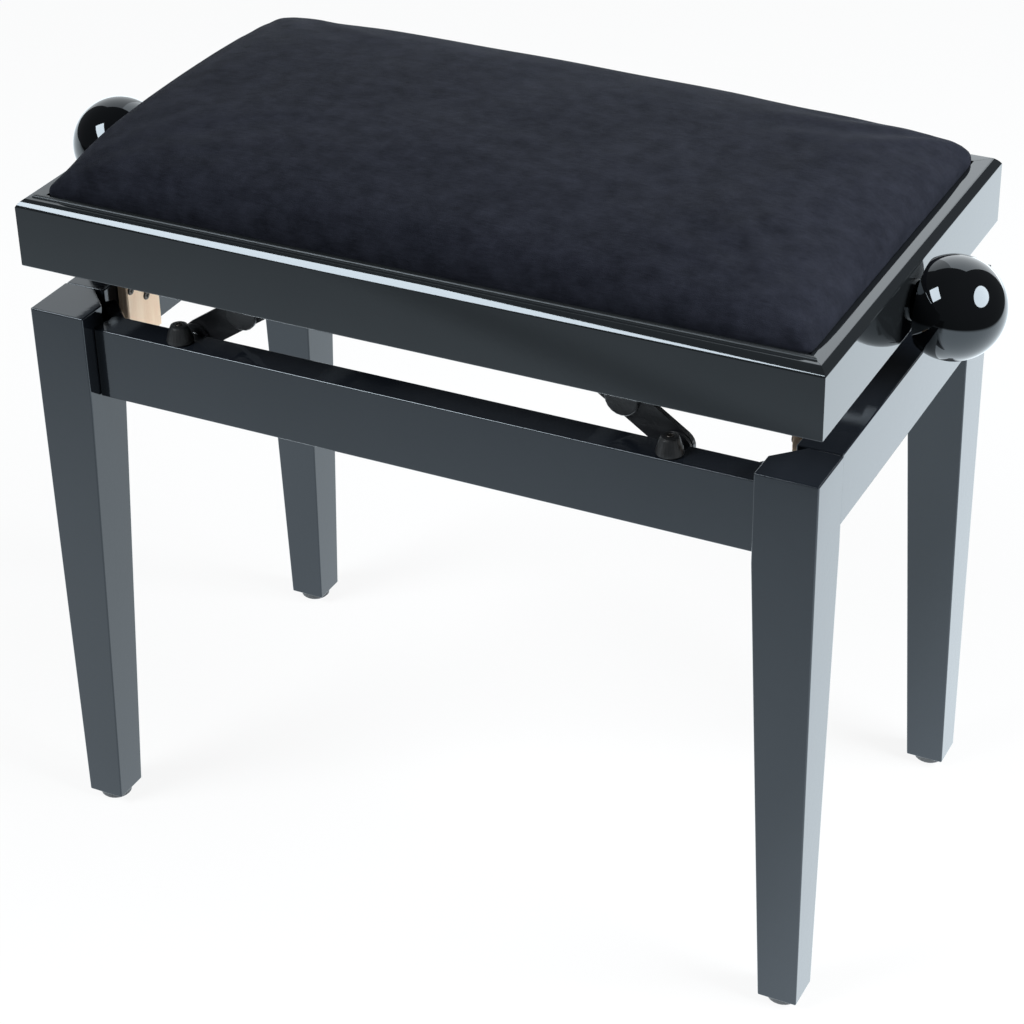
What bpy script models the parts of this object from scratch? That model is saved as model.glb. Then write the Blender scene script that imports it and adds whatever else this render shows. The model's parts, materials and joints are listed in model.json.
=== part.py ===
"""Keyboard bench with a padded seat that goes up and down on a screw-driven linkage."""
import math

import bmesh
import bpy
from mathutils import Vector

# Seat frame, metres
TOP_LENGTH = 0.555
TOP_WIDTH = 0.3215
TOP_BOTTOM = 0.432
TOP_Z = 0.479
RAIL_WALL = 0.018
LEDGE = 0.0147
REBATE_Z = 0.465
EDGE_CHAMFER = 0.0050
EDGE_BULGE = 0.0003
INNER_ROUND = 0.002
MITRE_GAP = 0.0002

# Seat board and cushion: rings of (inset from the outline, height over the frame's top)
BOARD_HALF = (0.2622, 0.1455)
BOARD_Z = (0.4653, 0.4748)
CUSHION_HALF = (0.2622, 0.1455)
CUSHION_CORNER = 0.006
CUSHION_PULL = 0.0015
CUSHION_RINGS = [
    (0.0020, -0.0038), (0.0003, 0.0), (0.0000, 0.0050), (0.0012, 0.0115), (0.0040, 0.0168),
    (0.0080, 0.0216), (0.0130, 0.0243), (0.0220, 0.0267), (0.0400, 0.0290), (0.0700, 0.0310),
    (0.1050, 0.0322), (0.1300, 0.0326),
]

# Base
BASE_HALF = (0.2763, 0.1595)
BASE_TOP = 0.401
LEG = 0.0410
LEG_FOOT = 0.0270
LEG_BOTTOM = 0.006
TAPER_Z = 0.338
CHAMFER_SUM = 0.372
CHAMFER_Z = 0.345
LONG_APRON_Y = (0.1262, 0.1485)
LONG_APRON_Z = (0.339, 0.389)
SIDE_APRON_X = (0.2460, 0.2757)
SIDE_APRON_Z = (0.352, 0.401)
BRACE_SUM = (0.351, 0.365)
BRACE_Z = (0.345, 0.3885)
BLOCK_X = (0.2378, 0.2457)
BLOCK_Y = (0.0670, 0.1040)
BLOCK_Z = (0.3535, 0.399)
GLIDE_RADIUS = 0.011
GAP = 0.0003

# Buffers on the long aprons' top edges
BUFFER = (0.1735, 0.1395)
BUFFER_RADIUS = (0.0090, 0.0062)
BUFFER_HEIGHT = 0.0120

# Lift linkage
SPINDLE_Z = 0.4485
SPINDLE_RADIUS = 0.006
PIVOT_X = 0.1715
PIVOT_Z = 0.3852
ARM_HALF = 0.044
ARM_SLOPE = math.radians(34.1)
ARM_RADIUS = 0.0103
SLOT_Z = 0.4330
LINK_RADIUS = 0.009
BOSS_RADIUS = 0.0115
PIN_RADIUS = 0.004
JOURNAL_RADIUS = 0.005
BAR_RADIUS = 0.009
CLEAR = 0.0003
FLOAT = 0.0018
SEAT_PLATE_Y = (0.1266, 0.1296)
LINK_Y = (0.1151, 0.1181)
ARM_Y = (0.1186, 0.1226)
PIVOT_PLATE_Y = (0.1237, 0.1259)
KNOB_RADIUS = 0.033
KNOB_X = 0.3005
KNOB_BACK = 0.283
KNOB_OUT = {"left": 0.005, "right": 0.0}


for stale in list(bpy.data.objects):
    bpy.data.objects.remove(stale)


def paint(name, colour, roughness, metallic):
    mat = bpy.data.materials.new(name)
    mat.use_nodes = True
    shader = mat.node_tree.nodes["Principled BSDF"]
    shader.inputs["Base Color"].default_value = (*colour, 1.0)
    shader.inputs["Roughness"].default_value = roughness
    shader.inputs["Metallic"].default_value = metallic
    mat.diffuse_color = (*colour, 1.0)
    return mat


LACQUER = paint("black_lacquer", (0.012, 0.013, 0.015), 0.12, 0.0)
RAW_WOOD = paint("raw_wood", (0.70, 0.52, 0.36), 0.70, 0.0)
PLYWOOD = paint("plywood", (0.60, 0.43, 0.28), 0.72, 0.0)
VELVET = paint("black_velvet", (0.012, 0.013, 0.020), 0.95, 0.0)
BLACK_STEEL = paint("black_steel", (0.030, 0.031, 0.034), 0.42, 0.9)
BRIGHT_STEEL = paint("zinc_steel", (0.55, 0.56, 0.58), 0.32, 1.0)
KNOB_PAINT = paint("knob_gloss", (0.008, 0.008, 0.009), 0.08, 0.0)
NYLON = paint("nylon", (0.05, 0.05, 0.05), 0.55, 0.0)
RUBBER = paint("rubber", (0.035, 0.036, 0.038), 0.60, 0.0)


def finish(name, bm, mat, origin=(0.0, 0.0, 0.0), smooth=False):
    bmesh.ops.recalc_face_normals(bm, faces=bm.faces)
    bmesh.ops.translate(bm, verts=bm.verts, vec=-Vector(origin))
    mesh = bpy.data.meshes.new(name)
    bm.to_mesh(mesh)
    bm.free()
    mesh.materials.append(mat)
    if smooth:
        mesh.shade_smooth()
        mesh.set_sharp_from_angle(angle=math.radians(40.0))
    obj = bpy.data.objects.new(name, mesh)
    obj.location = origin
    bpy.context.scene.collection.objects.link(obj)
    return obj


def ease(obj, width=0.0008):
    mod = obj.modifiers.new("eased edges", "BEVEL")
    mod.width = width
    mod.segments = 1
    mod.limit_method = "ANGLE"
    mod.angle_limit = math.radians(30.0)
    return obj


def combine(target, tool, operation):
    tool.hide_render = True
    tool.display_type = "WIRE"
    mod = target.modifiers.new(tool.name, "BOOLEAN")
    mod.operation = operation
    mod.solver = "EXACT"
    mod.object = tool
    return target


def loft(sections):
    bm = bmesh.new()
    rings = [[bm.verts.new(p) for p in section] for section in sections]
    for low, high in zip(rings, rings[1:]):
        for i in range(len(low)):
            j = (i + 1) % len(low)
            bm.faces.new((low[i], low[j], high[j], high[i]))
    bm.faces.new(rings[0])
    bm.faces.new(rings[-1])
    return bm


def box(name, low, high, mat, width=0.0008):
    (ax, ay, az), (bx, by, bz) = low, high
    flat = [(ax, ay), (bx, ay), (bx, by), (ax, by)]
    bm = loft([[(x, y, az) for x, y in flat], [(x, y, bz) for x, y in flat]])
    obj = finish(name, bm, mat)
    return ease(obj, width) if width else obj


def circle(centre, radius, count):
    step = 2.0 * math.pi / count
    return [(centre[0] + radius * math.cos(i * step), centre[1] + radius * math.sin(i * step))
            for i in range(count)]


def capsule(start, end, radius, count):
    heading = math.atan2(end[1] - start[1], end[0] - start[0])
    points = []
    for centre, first in ((end, heading - math.pi / 2), (start, heading + math.pi / 2)):
        for i in range(count + 1):
            turn = first + math.pi * i / count
            points.append((centre[0] + radius * math.cos(turn), centre[1] + radius * math.sin(turn)))
    return points


def plate(name, outline, holes, span, mat, origin):
    """A flat plate in X and Z with holes, running over span in Y."""
    bm = bmesh.new()
    edges = []
    for loop in [outline] + holes:
        verts = [bm.verts.new((x, span[0], z)) for x, z in loop]
        edges += [bm.edges.new((verts[i], verts[(i + 1) % len(verts)])) for i in range(len(verts))]
    bmesh.ops.triangle_fill(bm, use_beauty=True, use_dissolve=False, edges=edges, normal=(0.0, 1.0, 0.0))
    grown = bmesh.ops.extrude_face_region(bm, geom=list(bm.faces))
    moved = [g for g in grown["geom"] if isinstance(g, bmesh.types.BMVert)]
    bmesh.ops.translate(bm, verts=moved, vec=(0.0, span[1] - span[0], 0.0))
    return finish(name, bm, mat, origin, smooth=True)


def turned(name, profile, axis, centre, count, mat, origin=None, tube=False):
    """A solid of revolution from (along, radius) points about X, Y or Z through centre."""
    bm = bmesh.new()
    rings = []
    for along, radius in profile:
        if radius < 1e-7:
            points = [(0.0, 0.0)]
        else:
            points = circle((0.0, 0.0), radius, count)
        ring = []
        for p, q in points:
            place = {"X": (along, p, q), "Y": (p, along, q), "Z": (p, q, along)}[axis]
            ring.append(bm.verts.new(Vector(place) + Vector(centre)))
        rings.append(ring)
    pairs = list(zip(rings, rings[1:]))
    if tube:
        pairs.append((rings[-1], rings[0]))
    for low, high in pairs:
        for i in range(count):
            j = (i + 1) % count
            if len(low) == 1:
                bm.faces.new((low[0], high[j], high[i]))
            elif len(high) == 1:
                bm.faces.new((low[i], low[j], high[0]))
            else:
                bm.faces.new((low[i], low[j], high[j], high[i]))
    return finish(name, bm, mat, centre if origin is None else origin, smooth=True)


SIDES = (("left", -1), ("right", 1))
ENDS = (("front", -1), ("back", 1))


# Legs: square at the top, the two inner faces tapering to the foot
def leg_section(sx, sy, size, z, chamfered):
    ox, oy = BASE_HALF
    ix, iy = ox - size, oy - size
    if chamfered:
        flat = [(ox, oy), (ix, oy), (ix, CHAMFER_SUM - ix), (CHAMFER_SUM - iy, iy), (ox, iy)]
    else:
        flat = [(ox, oy), (ix, oy), (ix, iy), (ox, iy)]
    return [(sx * x, sy * y, z) for x, y in flat]


def make_leg(name, sx, sy):
    bm = bmesh.new()
    foot = [bm.verts.new(p) for p in leg_section(sx, sy, LEG_FOOT, LEG_BOTTOM, False)]
    knee = [bm.verts.new(p) for p in leg_section(sx, sy, LEG, TAPER_Z, False)]
    step = [bm.verts.new(p) for p in leg_section(sx, sy, LEG, CHAMFER_Z, False)]
    cut = leg_section(sx, sy, LEG, CHAMFER_Z, True)
    near, far = bm.verts.new(cut[2]), bm.verts.new(cut[3])
    top = [bm.verts.new(p) for p in leg_section(sx, sy, LEG, BASE_TOP, True)]
    for low, high in ((foot, knee), (knee, step)):
        for i in range(4):
            j = (i + 1) % 4
            if low is knee and i == 1:
                bm.faces.new((low[1], low[2], step[2], near, step[1]))
            elif low is knee and i == 2:
                bm.faces.new((low[2], low[3], step[3], far, step[2]))
            else:
                bm.faces.new((low[i], low[j], high[j], high[i]))
    shoulder = [step[0], step[1], near, far, step[3]]
    for i in range(5):
        j = (i + 1) % 5
        bm.faces.new((shoulder[i], shoulder[j], top[j], top[i]))
    bm.faces.new((near, step[2], far))
    bm.faces.new(foot)
    bm.faces.new(top)
    return ease(finish(name, bm, LACQUER), 0.0010)


for side, sx in SIDES:
    for end, sy in ENDS:
        make_leg(f"leg_{end}_{side}", sx, sy)
        foot_x = sx * (BASE_HALF[0] - LEG_FOOT / 2)
        foot_y = sy * (BASE_HALF[1] - LEG_FOOT / 2)
        pad = [(0.0, 0.0), (0.0, GLIDE_RADIUS - 0.001), (0.001, GLIDE_RADIUS),
               (LEG_BOTTOM - GAP, GLIDE_RADIUS), (LEG_BOTTOM - GAP, 0.0)]
        turned(f"glide_{end}_{side}", pad, "Z", (foot_x, foot_y, 0.0), 24, NYLON)

# Aprons between the legs: the long ones set back and lower, with a buffer near each end, the side ones flush
leg_x = BASE_HALF[0] - LEG - GAP
leg_y = BASE_HALF[1] - LEG - GAP
for end, sy in ENDS:
    ys = sorted((sy * LONG_APRON_Y[0], sy * LONG_APRON_Y[1]))
    box(f"apron_{end}", (-leg_x, ys[0], LONG_APRON_Z[0]), (leg_x, ys[1], LONG_APRON_Z[1]), LACQUER)
    for side, sx in SIDES:
        foot, crest = BUFFER_RADIUS
        cone = [(0.0, 0.0), (0.0, foot - 0.0005), (0.0006, foot), (0.0022, foot - 0.0003),
                (BUFFER_HEIGHT - 0.0016, crest), (BUFFER_HEIGHT - 0.0004, crest - 0.0006),
                (BUFFER_HEIGHT, crest - 0.0018), (BUFFER_HEIGHT, 0.0)]
        spot = (sx * BUFFER[0], sy * BUFFER[1], LONG_APRON_Z[1] + GAP)
        turned(f"buffer_{end}_{side}", cone, "Z", spot, 24, RUBBER)
for side, sx in SIDES:
    xs = sorted((sx * SIDE_APRON_X[0], sx * SIDE_APRON_X[1]))
    box(f"apron_{side}", (xs[0], -leg_y, SIDE_APRON_Z[0]), (xs[1], leg_y, SIDE_APRON_Z[1]), LACQUER)

# Diagonal braces across the inner corners and the raw blocks beside them
brace_x = SIDE_APRON_X[0] - GAP
brace_y = LONG_APRON_Y[0] - GAP
for side, sx in SIDES:
    for end, sy in ENDS:
        plan = [(BRACE_SUM[0] - brace_y, brace_y), (BRACE_SUM[1] - brace_y, brace_y),
                (brace_x, BRACE_SUM[1] - brace_x), (brace_x, BRACE_SUM[0] - brace_x)]
        levels = [[(sx * x, sy * y, z) for x, y in plan] for z in BRACE_Z]
        ease(finish(f"brace_{end}_{side}", loft(levels), LACQUER), 0.0006)
        xs = sorted((sx * BLOCK_X[0], sx * BLOCK_X[1]))
        ys = sorted((sy * BLOCK_Y[0], sy * BLOCK_Y[1]))
        box(f"block_{end}_{side}", (xs[0], ys[0], BLOCK_Z[0]), (xs[1], ys[1], BLOCK_Z[1]), RAW_WOOD)


# Seat frame: four mitred rails with a chamfered outer edge and a rebate for the seat board
def rail_profile():
    points = [(0.0010, TOP_BOTTOM), (0.0, TOP_BOTTOM + 0.0010)]
    half = EDGE_CHAMFER / 2
    points += [(0.0, TOP_Z - EDGE_CHAMFER), (half - EDGE_BULGE, TOP_Z - half + EDGE_BULGE),
               (EDGE_CHAMFER, TOP_Z)]
    for i in range(4):
        turn = math.pi / 2 - math.pi / 2 * i / 3
        points.append((LEDGE - INNER_ROUND + INNER_ROUND * math.cos(turn),
                       TOP_Z - INNER_ROUND + INNER_ROUND * math.sin(turn)))
    points += [(LEDGE, REBATE_Z), (RAIL_WALL, REBATE_Z), (RAIL_WALL, TOP_BOTTOM)]
    return points


profile = rail_profile()
half_l, half_w = TOP_LENGTH / 2, TOP_WIDTH / 2
for end, sy in ENDS:
    cuts = [[(s * (half_l - u - MITRE_GAP), sy * (half_w - u), z) for u, z in profile] for s in (-1, 1)]
    finish(f"top_rail_{end}", loft(cuts), LACQUER, smooth=True)
for side, sx in SIDES:
    cuts = [[(sx * (half_l - u), s * (half_w - u - MITRE_GAP), z) for u, z in profile] for s in (-1, 1)]
    rail = finish(f"top_rail_{side}", loft(cuts), LACQUER, smooth=True)
    drill = [(-0.03, 0.0), (-0.03, 0.0093), (0.03, 0.0093), (0.03, 0.0)]
    bore = turned(f"bush_bore_{side}", drill, "X", (sx * 0.268, 0.0, SPINDLE_Z), 32, LACQUER)
    combine(rail, bore, "DIFFERENCE")
    sleeve = [(0.2592, 0.0063), (0.2772, 0.0063), (0.2772, 0.0090), (0.2592, 0.0090),
              (0.2592, 0.0140), (0.2562, 0.0140), (0.2562, 0.0063)]
    sleeve = [(sx * a, r) for a, r in sleeve]
    turned(f"spindle_bush_{side}", sleeve, "X", (0.0, 0.0, SPINDLE_Z), 32, NYLON, tube=True)

board_low = (-BOARD_HALF[0], -BOARD_HALF[1], BOARD_Z[0])
box("seat_board", board_low, (BOARD_HALF[0], BOARD_HALF[1], BOARD_Z[1]), PLYWOOD, 0.0)


# Cushion: rings of a rectangle, drawn in between the corners, crowned and pulled down at the corners
def cushion_ring(inset, rise):
    hx, hy = CUSHION_HALF[0] - inset, CUSHION_HALF[1] - inset
    r = max(CUSHION_CORNER - inset, 0.003)
    draw = CUSHION_PULL * max(0.0, 1.0 - inset / 0.08) if rise > 0.001 else 0.0
    corners = [(hx - r, hy - r, 0.0), (r - hx, hy - r, 90.0),
               (r - hx, r - hy, 180.0), (hx - r, r - hy, 270.0)]
    steps = (14, 10, 14, 10)
    flat = []
    for (cx, cy, first), count, following in zip(corners, steps, corners[1:] + corners[:1]):
        for i in range(4):
            turn = math.radians(first + 90.0 * i / 3)
            flat.append((cx + r * math.cos(turn), cy + r * math.sin(turn)))
        last = flat[-1]
        turn = math.radians(following[2])
        goal = (following[0] + r * math.cos(turn), following[1] + r * math.sin(turn))
        for i in range(1, count):
            t = 0.5 - 0.5 * math.cos(math.pi * i / count)
            pull = draw * (1.0 - (2.0 * t - 1.0) ** 2)
            x = last[0] + (goal[0] - last[0]) * t
            y = last[1] + (goal[1] - last[1]) * t
            if count == 14:
                y -= math.copysign(pull, y)
            else:
                x -= math.copysign(pull, x)
            flat.append((x, y))
    points = []
    for x, y in flat:
        away = max(CUSHION_HALF[0] - abs(x), CUSHION_HALF[1] - abs(y))
        fall = 1.0 - 0.32 * math.exp(-away / 0.016) - 0.10 * math.exp(-away / 0.060)
        points.append((x, y, TOP_Z + (rise * fall if rise > 0.0 else rise)))
    return points


finish("cushion", loft([cushion_ring(d, rise) for d, rise in CUSHION_RINGS]), VELVET, smooth=True)

# Spindle along X with its collars and the two ball knobs
axis_point = (0.0, 0.0, SPINDLE_Z)
ends_x = (-0.302 - KNOB_OUT["left"], 0.302 + KNOB_OUT["right"])
rod = [(ends_x[0], 0.0), (ends_x[0], SPINDLE_RADIUS), (ends_x[1], SPINDLE_RADIUS), (ends_x[1], 0.0)]
turned("spindle", rod, "X", axis_point, 24, BRIGHT_STEEL)
for side, sx in SIDES:
    ring = [(0.2479, 0.0063), (0.2559, 0.0063), (0.2559, 0.0120), (0.2479, 0.0120)]
    turned(f"collar_{side}", [(sx * a, r) for a, r in ring], "X", axis_point, 24, BRIGHT_STEEL, tube=True)
    # The left knob is screwed on less far than the right one
    out = KNOB_OUT[side]
    middle, back = KNOB_X + out, KNOB_BACK + out
    ball = [(0.3040 + out, 0.0), (0.3040 + out, 0.0063), (0.2783, 0.0063), (0.2783, 0.0125), (0.2788, 0.0130),
            (back - 0.0006, 0.0130)]
    first = math.acos((back - middle) / KNOB_RADIUS)
    ball.append((back, KNOB_RADIUS * math.sin(first) - 0.0015))
    for i in range(14):
        turn = (first - 0.03) * (1.0 - i / 14)
        ball.append((middle + KNOB_RADIUS * math.cos(turn), KNOB_RADIUS * math.sin(turn)))
    ball.append((middle + KNOB_RADIUS, 0.0))
    turned(f"knob_{side}", [(sx * a, r) for a, r in ball], "X", axis_point, 36, KNOB_PAINT)

# Linkage: an arm on each pivot, a half-length link from its middle to the seat, and a screw bar
for side, sx in SIDES:
    along = (-sx * math.cos(ARM_SLOPE), math.sin(ARM_SLOPE))
    pivot = (sx * PIVOT_X, PIVOT_Z)
    middle = (pivot[0] + along[0] * ARM_HALF, pivot[1] + along[1] * ARM_HALF)
    tip = (pivot[0] + along[0] * ARM_HALF * 2, pivot[1] + along[1] * ARM_HALF * 2)
    head = (pivot[0], tip[1])
    for end, sy in ENDS:
        span = sorted((sy * ARM_Y[0], sy * ARM_Y[1]))
        holes = [circle(pivot, PIN_RADIUS + CLEAR, 20), circle(middle, PIN_RADIUS + CLEAR, 20),
                 circle(tip, JOURNAL_RADIUS + CLEAR, 20)]
        outline = capsule(pivot, tip, ARM_RADIUS, 12)
        plate(f"arm_{end}_{side}", outline, holes, span, BLACK_STEEL, (pivot[0], 0.0, pivot[1]))

        span = sorted((sy * LINK_Y[0], sy * LINK_Y[1]))
        outline = capsule(middle, head, LINK_RADIUS, 12)
        link = plate(f"link_{end}_{side}", outline, [], span, BLACK_STEEL, (middle[0], 0.0, middle[1]))
        rivet = [(0.1259, 0.0), (0.1259, BOSS_RADIUS - 0.0008), (0.1251, BOSS_RADIUS), (0.1229, BOSS_RADIUS),
                 (0.1229, PIN_RADIUS), (0.1166, PIN_RADIUS), (0.1166, 0.0)]
        rivet = [(sy * a, r) for a, r in rivet]
        pin = turned(f"link_rivet_{end}_{side}", rivet, "Y", (middle[0], 0.0, middle[1]), 20, BLACK_STEEL)
        combine(link, pin, "UNION")
        stud = [(0.1294, 0.0), (0.1294, PIN_RADIUS), (0.1166, PIN_RADIUS), (0.1166, 0.0)]
        stud = [(sy * a, r) for a, r in stud]
        pin = turned(f"link_stud_{end}_{side}", stud, "Y", (head[0], 0.0, head[1]), 20, BLACK_STEEL)
        combine(link, pin, "UNION")

        slot_low = (pivot[0], SLOT_Z - FLOAT)
        slot_high = (pivot[0], SLOT_Z + FLOAT)
        slot = capsule(slot_low, slot_high, PIN_RADIUS + CLEAR, 10)
        low = SLOT_Z - 0.0135
        high = REBATE_Z
        outline = [(-0.015, low + 0.004), (-0.011, low), (0.011, low), (0.015, low + 0.004),
                   (0.015, high - 0.001), (-0.015, high - 0.001)]
        outline = [(pivot[0] + x, z) for x, z in outline]
        span = sorted((sy * SEAT_PLATE_Y[0], sy * SEAT_PLATE_Y[1]))
        seat_point = (pivot[0], 0.0, SLOT_Z)
        hanger = plate(f"seat_plate_{end}_{side}", outline, [slot], span, BLACK_STEEL, seat_point)
        ys = sorted((sy * (SEAT_PLATE_Y[0] + 0.0005), sy * 0.1425))
        flange_low = (pivot[0] - 0.0147, ys[0], high - 0.003)
        flange_high = (pivot[0] + 0.0147, ys[1], high)
        flange = box(f"seat_flange_{end}_{side}", flange_low, flange_high, BLACK_STEEL, 0.0)
        combine(hanger, flange, "UNION")

        outline = [(pivot[0] - 0.018, 0.346), (pivot[0] + 0.018, 0.346), (pivot[0] + 0.018, 0.373)]
        crest = capsule((pivot[0], PIVOT_Z - 0.02), pivot, 0.010, 14)[:15]
        outline += crest + [(pivot[0] - 0.018, 0.373)]
        span = sorted((sy * PIVOT_PLATE_Y[0], sy * PIVOT_PLATE_Y[1]))
        holes = [circle(pivot, PIN_RADIUS + CLEAR, 20)]
        plate(f"pivot_plate_{end}_{side}", outline, holes, span, BLACK_STEEL, (pivot[0], 0.0, pivot[1]))

        shank = [(0.1260, 0.0), (0.1260, PIN_RADIUS - 0.0003), (0.1257, PIN_RADIUS), (0.1183, PIN_RADIUS),
                 (0.1183, 0.0060), (0.1166, 0.0060), (0.1160, 0.0053), (0.1160, 0.0)]
        shank = [(sy * a, r) for a, r in shank]
        turned(f"pivot_pin_{end}_{side}", shank, "Y", (pivot[0], 0.0, pivot[1]), 24, BLACK_STEEL)

    tip_point = (tip[0], 0.0, tip[1])
    bar = [(-0.1250, 0.0), (-0.1250, JOURNAL_RADIUS), (-0.1181, JOURNAL_RADIUS), (-0.1181, BAR_RADIUS),
           (0.1181, BAR_RADIUS), (0.1181, JOURNAL_RADIUS), (0.1250, JOURNAL_RADIUS), (0.1250, 0.0)]
    screw_bar = turned(f"screw_bar_{side}", bar, "Y", tip_point, 24, BLACK_STEEL)
    screw_z = SPINDLE_Z + tip[1] - SLOT_Z
    hub_low = (tip[0] - 0.014, -0.016, tip[1] - 0.011)
    hub_high = (tip[0] + 0.014, 0.016, screw_z + 0.0115)
    hub = box(f"screw_hub_{side}", hub_low, hub_high, BLACK_STEEL, 0.0)
    combine(screw_bar, hub, "UNION")
    window = capsule((0.0, screw_z - FLOAT), (0.0, screw_z + FLOAT), SPINDLE_RADIUS + CLEAR, 10)
    tunnel = loft([[(tip[0] + w, y, z) for y, z in window] for w in (-0.03, 0.03)])
    cutter = finish(f"screw_tunnel_{side}", tunnel, BLACK_STEEL)
    combine(screw_bar, cutter, "DIFFERENCE")
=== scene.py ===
import json
import math

import bmesh
import bpy
import numpy as np
from mathutils import Euler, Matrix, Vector

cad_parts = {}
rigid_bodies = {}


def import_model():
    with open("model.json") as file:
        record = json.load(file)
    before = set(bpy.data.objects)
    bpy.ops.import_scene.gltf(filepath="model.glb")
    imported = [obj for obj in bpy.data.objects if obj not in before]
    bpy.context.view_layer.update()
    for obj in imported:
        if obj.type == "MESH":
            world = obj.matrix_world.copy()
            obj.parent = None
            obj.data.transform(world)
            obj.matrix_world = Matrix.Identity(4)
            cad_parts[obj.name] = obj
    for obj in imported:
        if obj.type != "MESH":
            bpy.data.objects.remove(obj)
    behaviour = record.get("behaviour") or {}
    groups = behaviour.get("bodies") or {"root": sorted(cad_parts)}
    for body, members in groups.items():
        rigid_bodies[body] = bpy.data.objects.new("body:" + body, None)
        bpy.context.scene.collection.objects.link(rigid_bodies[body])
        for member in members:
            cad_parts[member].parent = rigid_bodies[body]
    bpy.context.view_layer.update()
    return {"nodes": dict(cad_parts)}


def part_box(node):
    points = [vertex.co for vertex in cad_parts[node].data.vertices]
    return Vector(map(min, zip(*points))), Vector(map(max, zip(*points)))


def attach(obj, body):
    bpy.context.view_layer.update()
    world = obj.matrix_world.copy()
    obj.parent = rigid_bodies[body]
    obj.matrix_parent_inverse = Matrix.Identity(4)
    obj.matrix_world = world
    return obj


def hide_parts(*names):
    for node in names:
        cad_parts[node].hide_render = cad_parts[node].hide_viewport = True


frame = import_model()
nodes = frame["nodes"]
sides = (("left", -1), ("right", 1))
ends = (("front", -1), ("back", 1))
mitre = 0.70710678      # both parts of a unit vector at 45 degrees
print("frame loaded,", len(nodes), "nodes")


# small helpers for working by hand in edit mode

def leaveEdit():
    if bpy.context.object and bpy.context.object.mode != "OBJECT":
        bpy.ops.object.mode_set(mode="OBJECT")


def deselectAll():
    leaveEdit()
    bpy.ops.object.select_all(action="DESELECT")


def activate(piece):
    deselectAll()
    piece.select_set(True)
    bpy.context.view_layer.objects.active = piece
    return piece


def callIt(piece, name):
    piece.name = name
    piece.data.name = name
    return piece


def applyPlace():
    bpy.ops.object.transform_apply(location=True, rotation=True, scale=True)


def addBlock(name, low, high):
    deselectAll()
    low, high = Vector(low), Vector(high)
    bpy.ops.mesh.primitive_cube_add(size=1.0, location=(low + high) / 2)
    piece = callIt(bpy.context.object, name)
    piece.scale = high - low
    applyPlace()
    return piece


def addRound(name, radius, depth, centre, axis, vertices):
    deselectAll()
    turn = {"X": (0, math.pi / 2, 0), "Z": (0, 0, 0)}[axis]
    bpy.ops.mesh.primitive_cylinder_add(vertices=vertices, radius=radius, depth=depth, location=centre, rotation=turn)
    piece = callIt(bpy.context.object, name)
    applyPlace()
    return piece


def pick(piece, kind, test):
    if bpy.context.object is not piece or piece.mode != "EDIT":
        activate(piece)
        bpy.ops.object.mode_set(mode="EDIT")
    bpy.ops.mesh.select_mode(type=kind)
    bpy.ops.mesh.select_all(action="DESELECT")
    mesh = bmesh.from_edit_mesh(piece.data)
    count = 0
    for item in {"FACE": mesh.faces, "EDGE": mesh.edges, "VERT": mesh.verts}[kind]:
        points = [item.co] if kind == "VERT" else [v.co for v in item.verts]
        middle = sum(points, Vector()) / len(points)
        if test(item, middle):
            item.select_set(True)
            count += 1
    bmesh.update_edit_mesh(piece.data)
    return count


def pickAll(piece, kind="FACE"):
    pick(piece, kind, lambda item, middle: True)


def isNear(value, goal):
    return abs(value - goal) < 1e-5


def runsOver(edge, length):
    return abs(edge.verts[0].co.x - edge.verts[1].co.x) > length


def liesAbove(edge, height):
    return all(v.co.z > height for v in edge.verts)


def bevelEdges(piece, test, width, segments, profile=0.5):
    if pick(piece, "EDGE", test):
        bpy.ops.mesh.bevel(offset=width, segments=segments, profile=profile, affect="EDGES")
    leaveEdit()


def cutAt(piece, point, normal, keep="BOTH"):
    pickAll(piece)
    bpy.ops.mesh.bisect(plane_co=point, plane_no=normal, use_fill=keep != "BOTH", clear_outer=keep == "INNER",
                        clear_inner=keep == "OUTER")
    leaveEdit()


def softShade(piece, angle=35.0):
    activate(piece)
    bpy.ops.object.shade_smooth_by_angle(angle=math.radians(angle))


def applyAll(piece):
    activate(piece)
    for modifier in list(piece.modifiers):
        bpy.ops.object.modifier_apply(modifier=modifier.name)


def cutAway(piece, cutter):
    cut = piece.modifiers.new("cut", "BOOLEAN")
    cut.operation = "DIFFERENCE"
    cut.solver = "EXACT"
    cut.object = cutter
    applyAll(piece)
    bpy.data.objects.remove(cutter)


def easeEdges(piece, width):
    ease = piece.modifiers.new("eased", "BEVEL")
    ease.width = width
    ease.segments = 3
    ease.limit_method = "ANGLE"
    ease.angle_limit = math.radians(30)
    applyAll(piece)


def flatNormals(piece):
    softShade(piece)
    weighted = piece.modifiers.new("weighted normals", "WEIGHTED_NORMAL")
    weighted.weight = 70
    weighted.keep_sharp = True
    applyAll(piece)


def copyOf(piece, name):
    activate(piece)
    bpy.ops.object.duplicate(linked=False)
    twin = callIt(bpy.context.object, name)
    applyPlace()
    return twin


def mirrorCopy(piece, name, flips):
    twin = copyOf(piece, name)
    twin.scale = flips
    bpy.ops.object.transform_apply(location=False, rotation=False, scale=True)
    if flips[0] * flips[1] * flips[2] < 0:
        pickAll(twin)
        bpy.ops.mesh.flip_normals()
        leaveEdit()
    return twin


def joinAll(name, pieces):
    activate(pieces[0])
    for piece in pieces[1:]:
        piece.select_set(True)
    bpy.ops.object.join()
    return callIt(bpy.context.object, name)


def dress(piece, material, body, replaced=()):
    piece.data.materials.clear()
    piece.data.materials.append(material)
    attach(piece, body)
    if replaced:
        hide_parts(*replaced)


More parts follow.
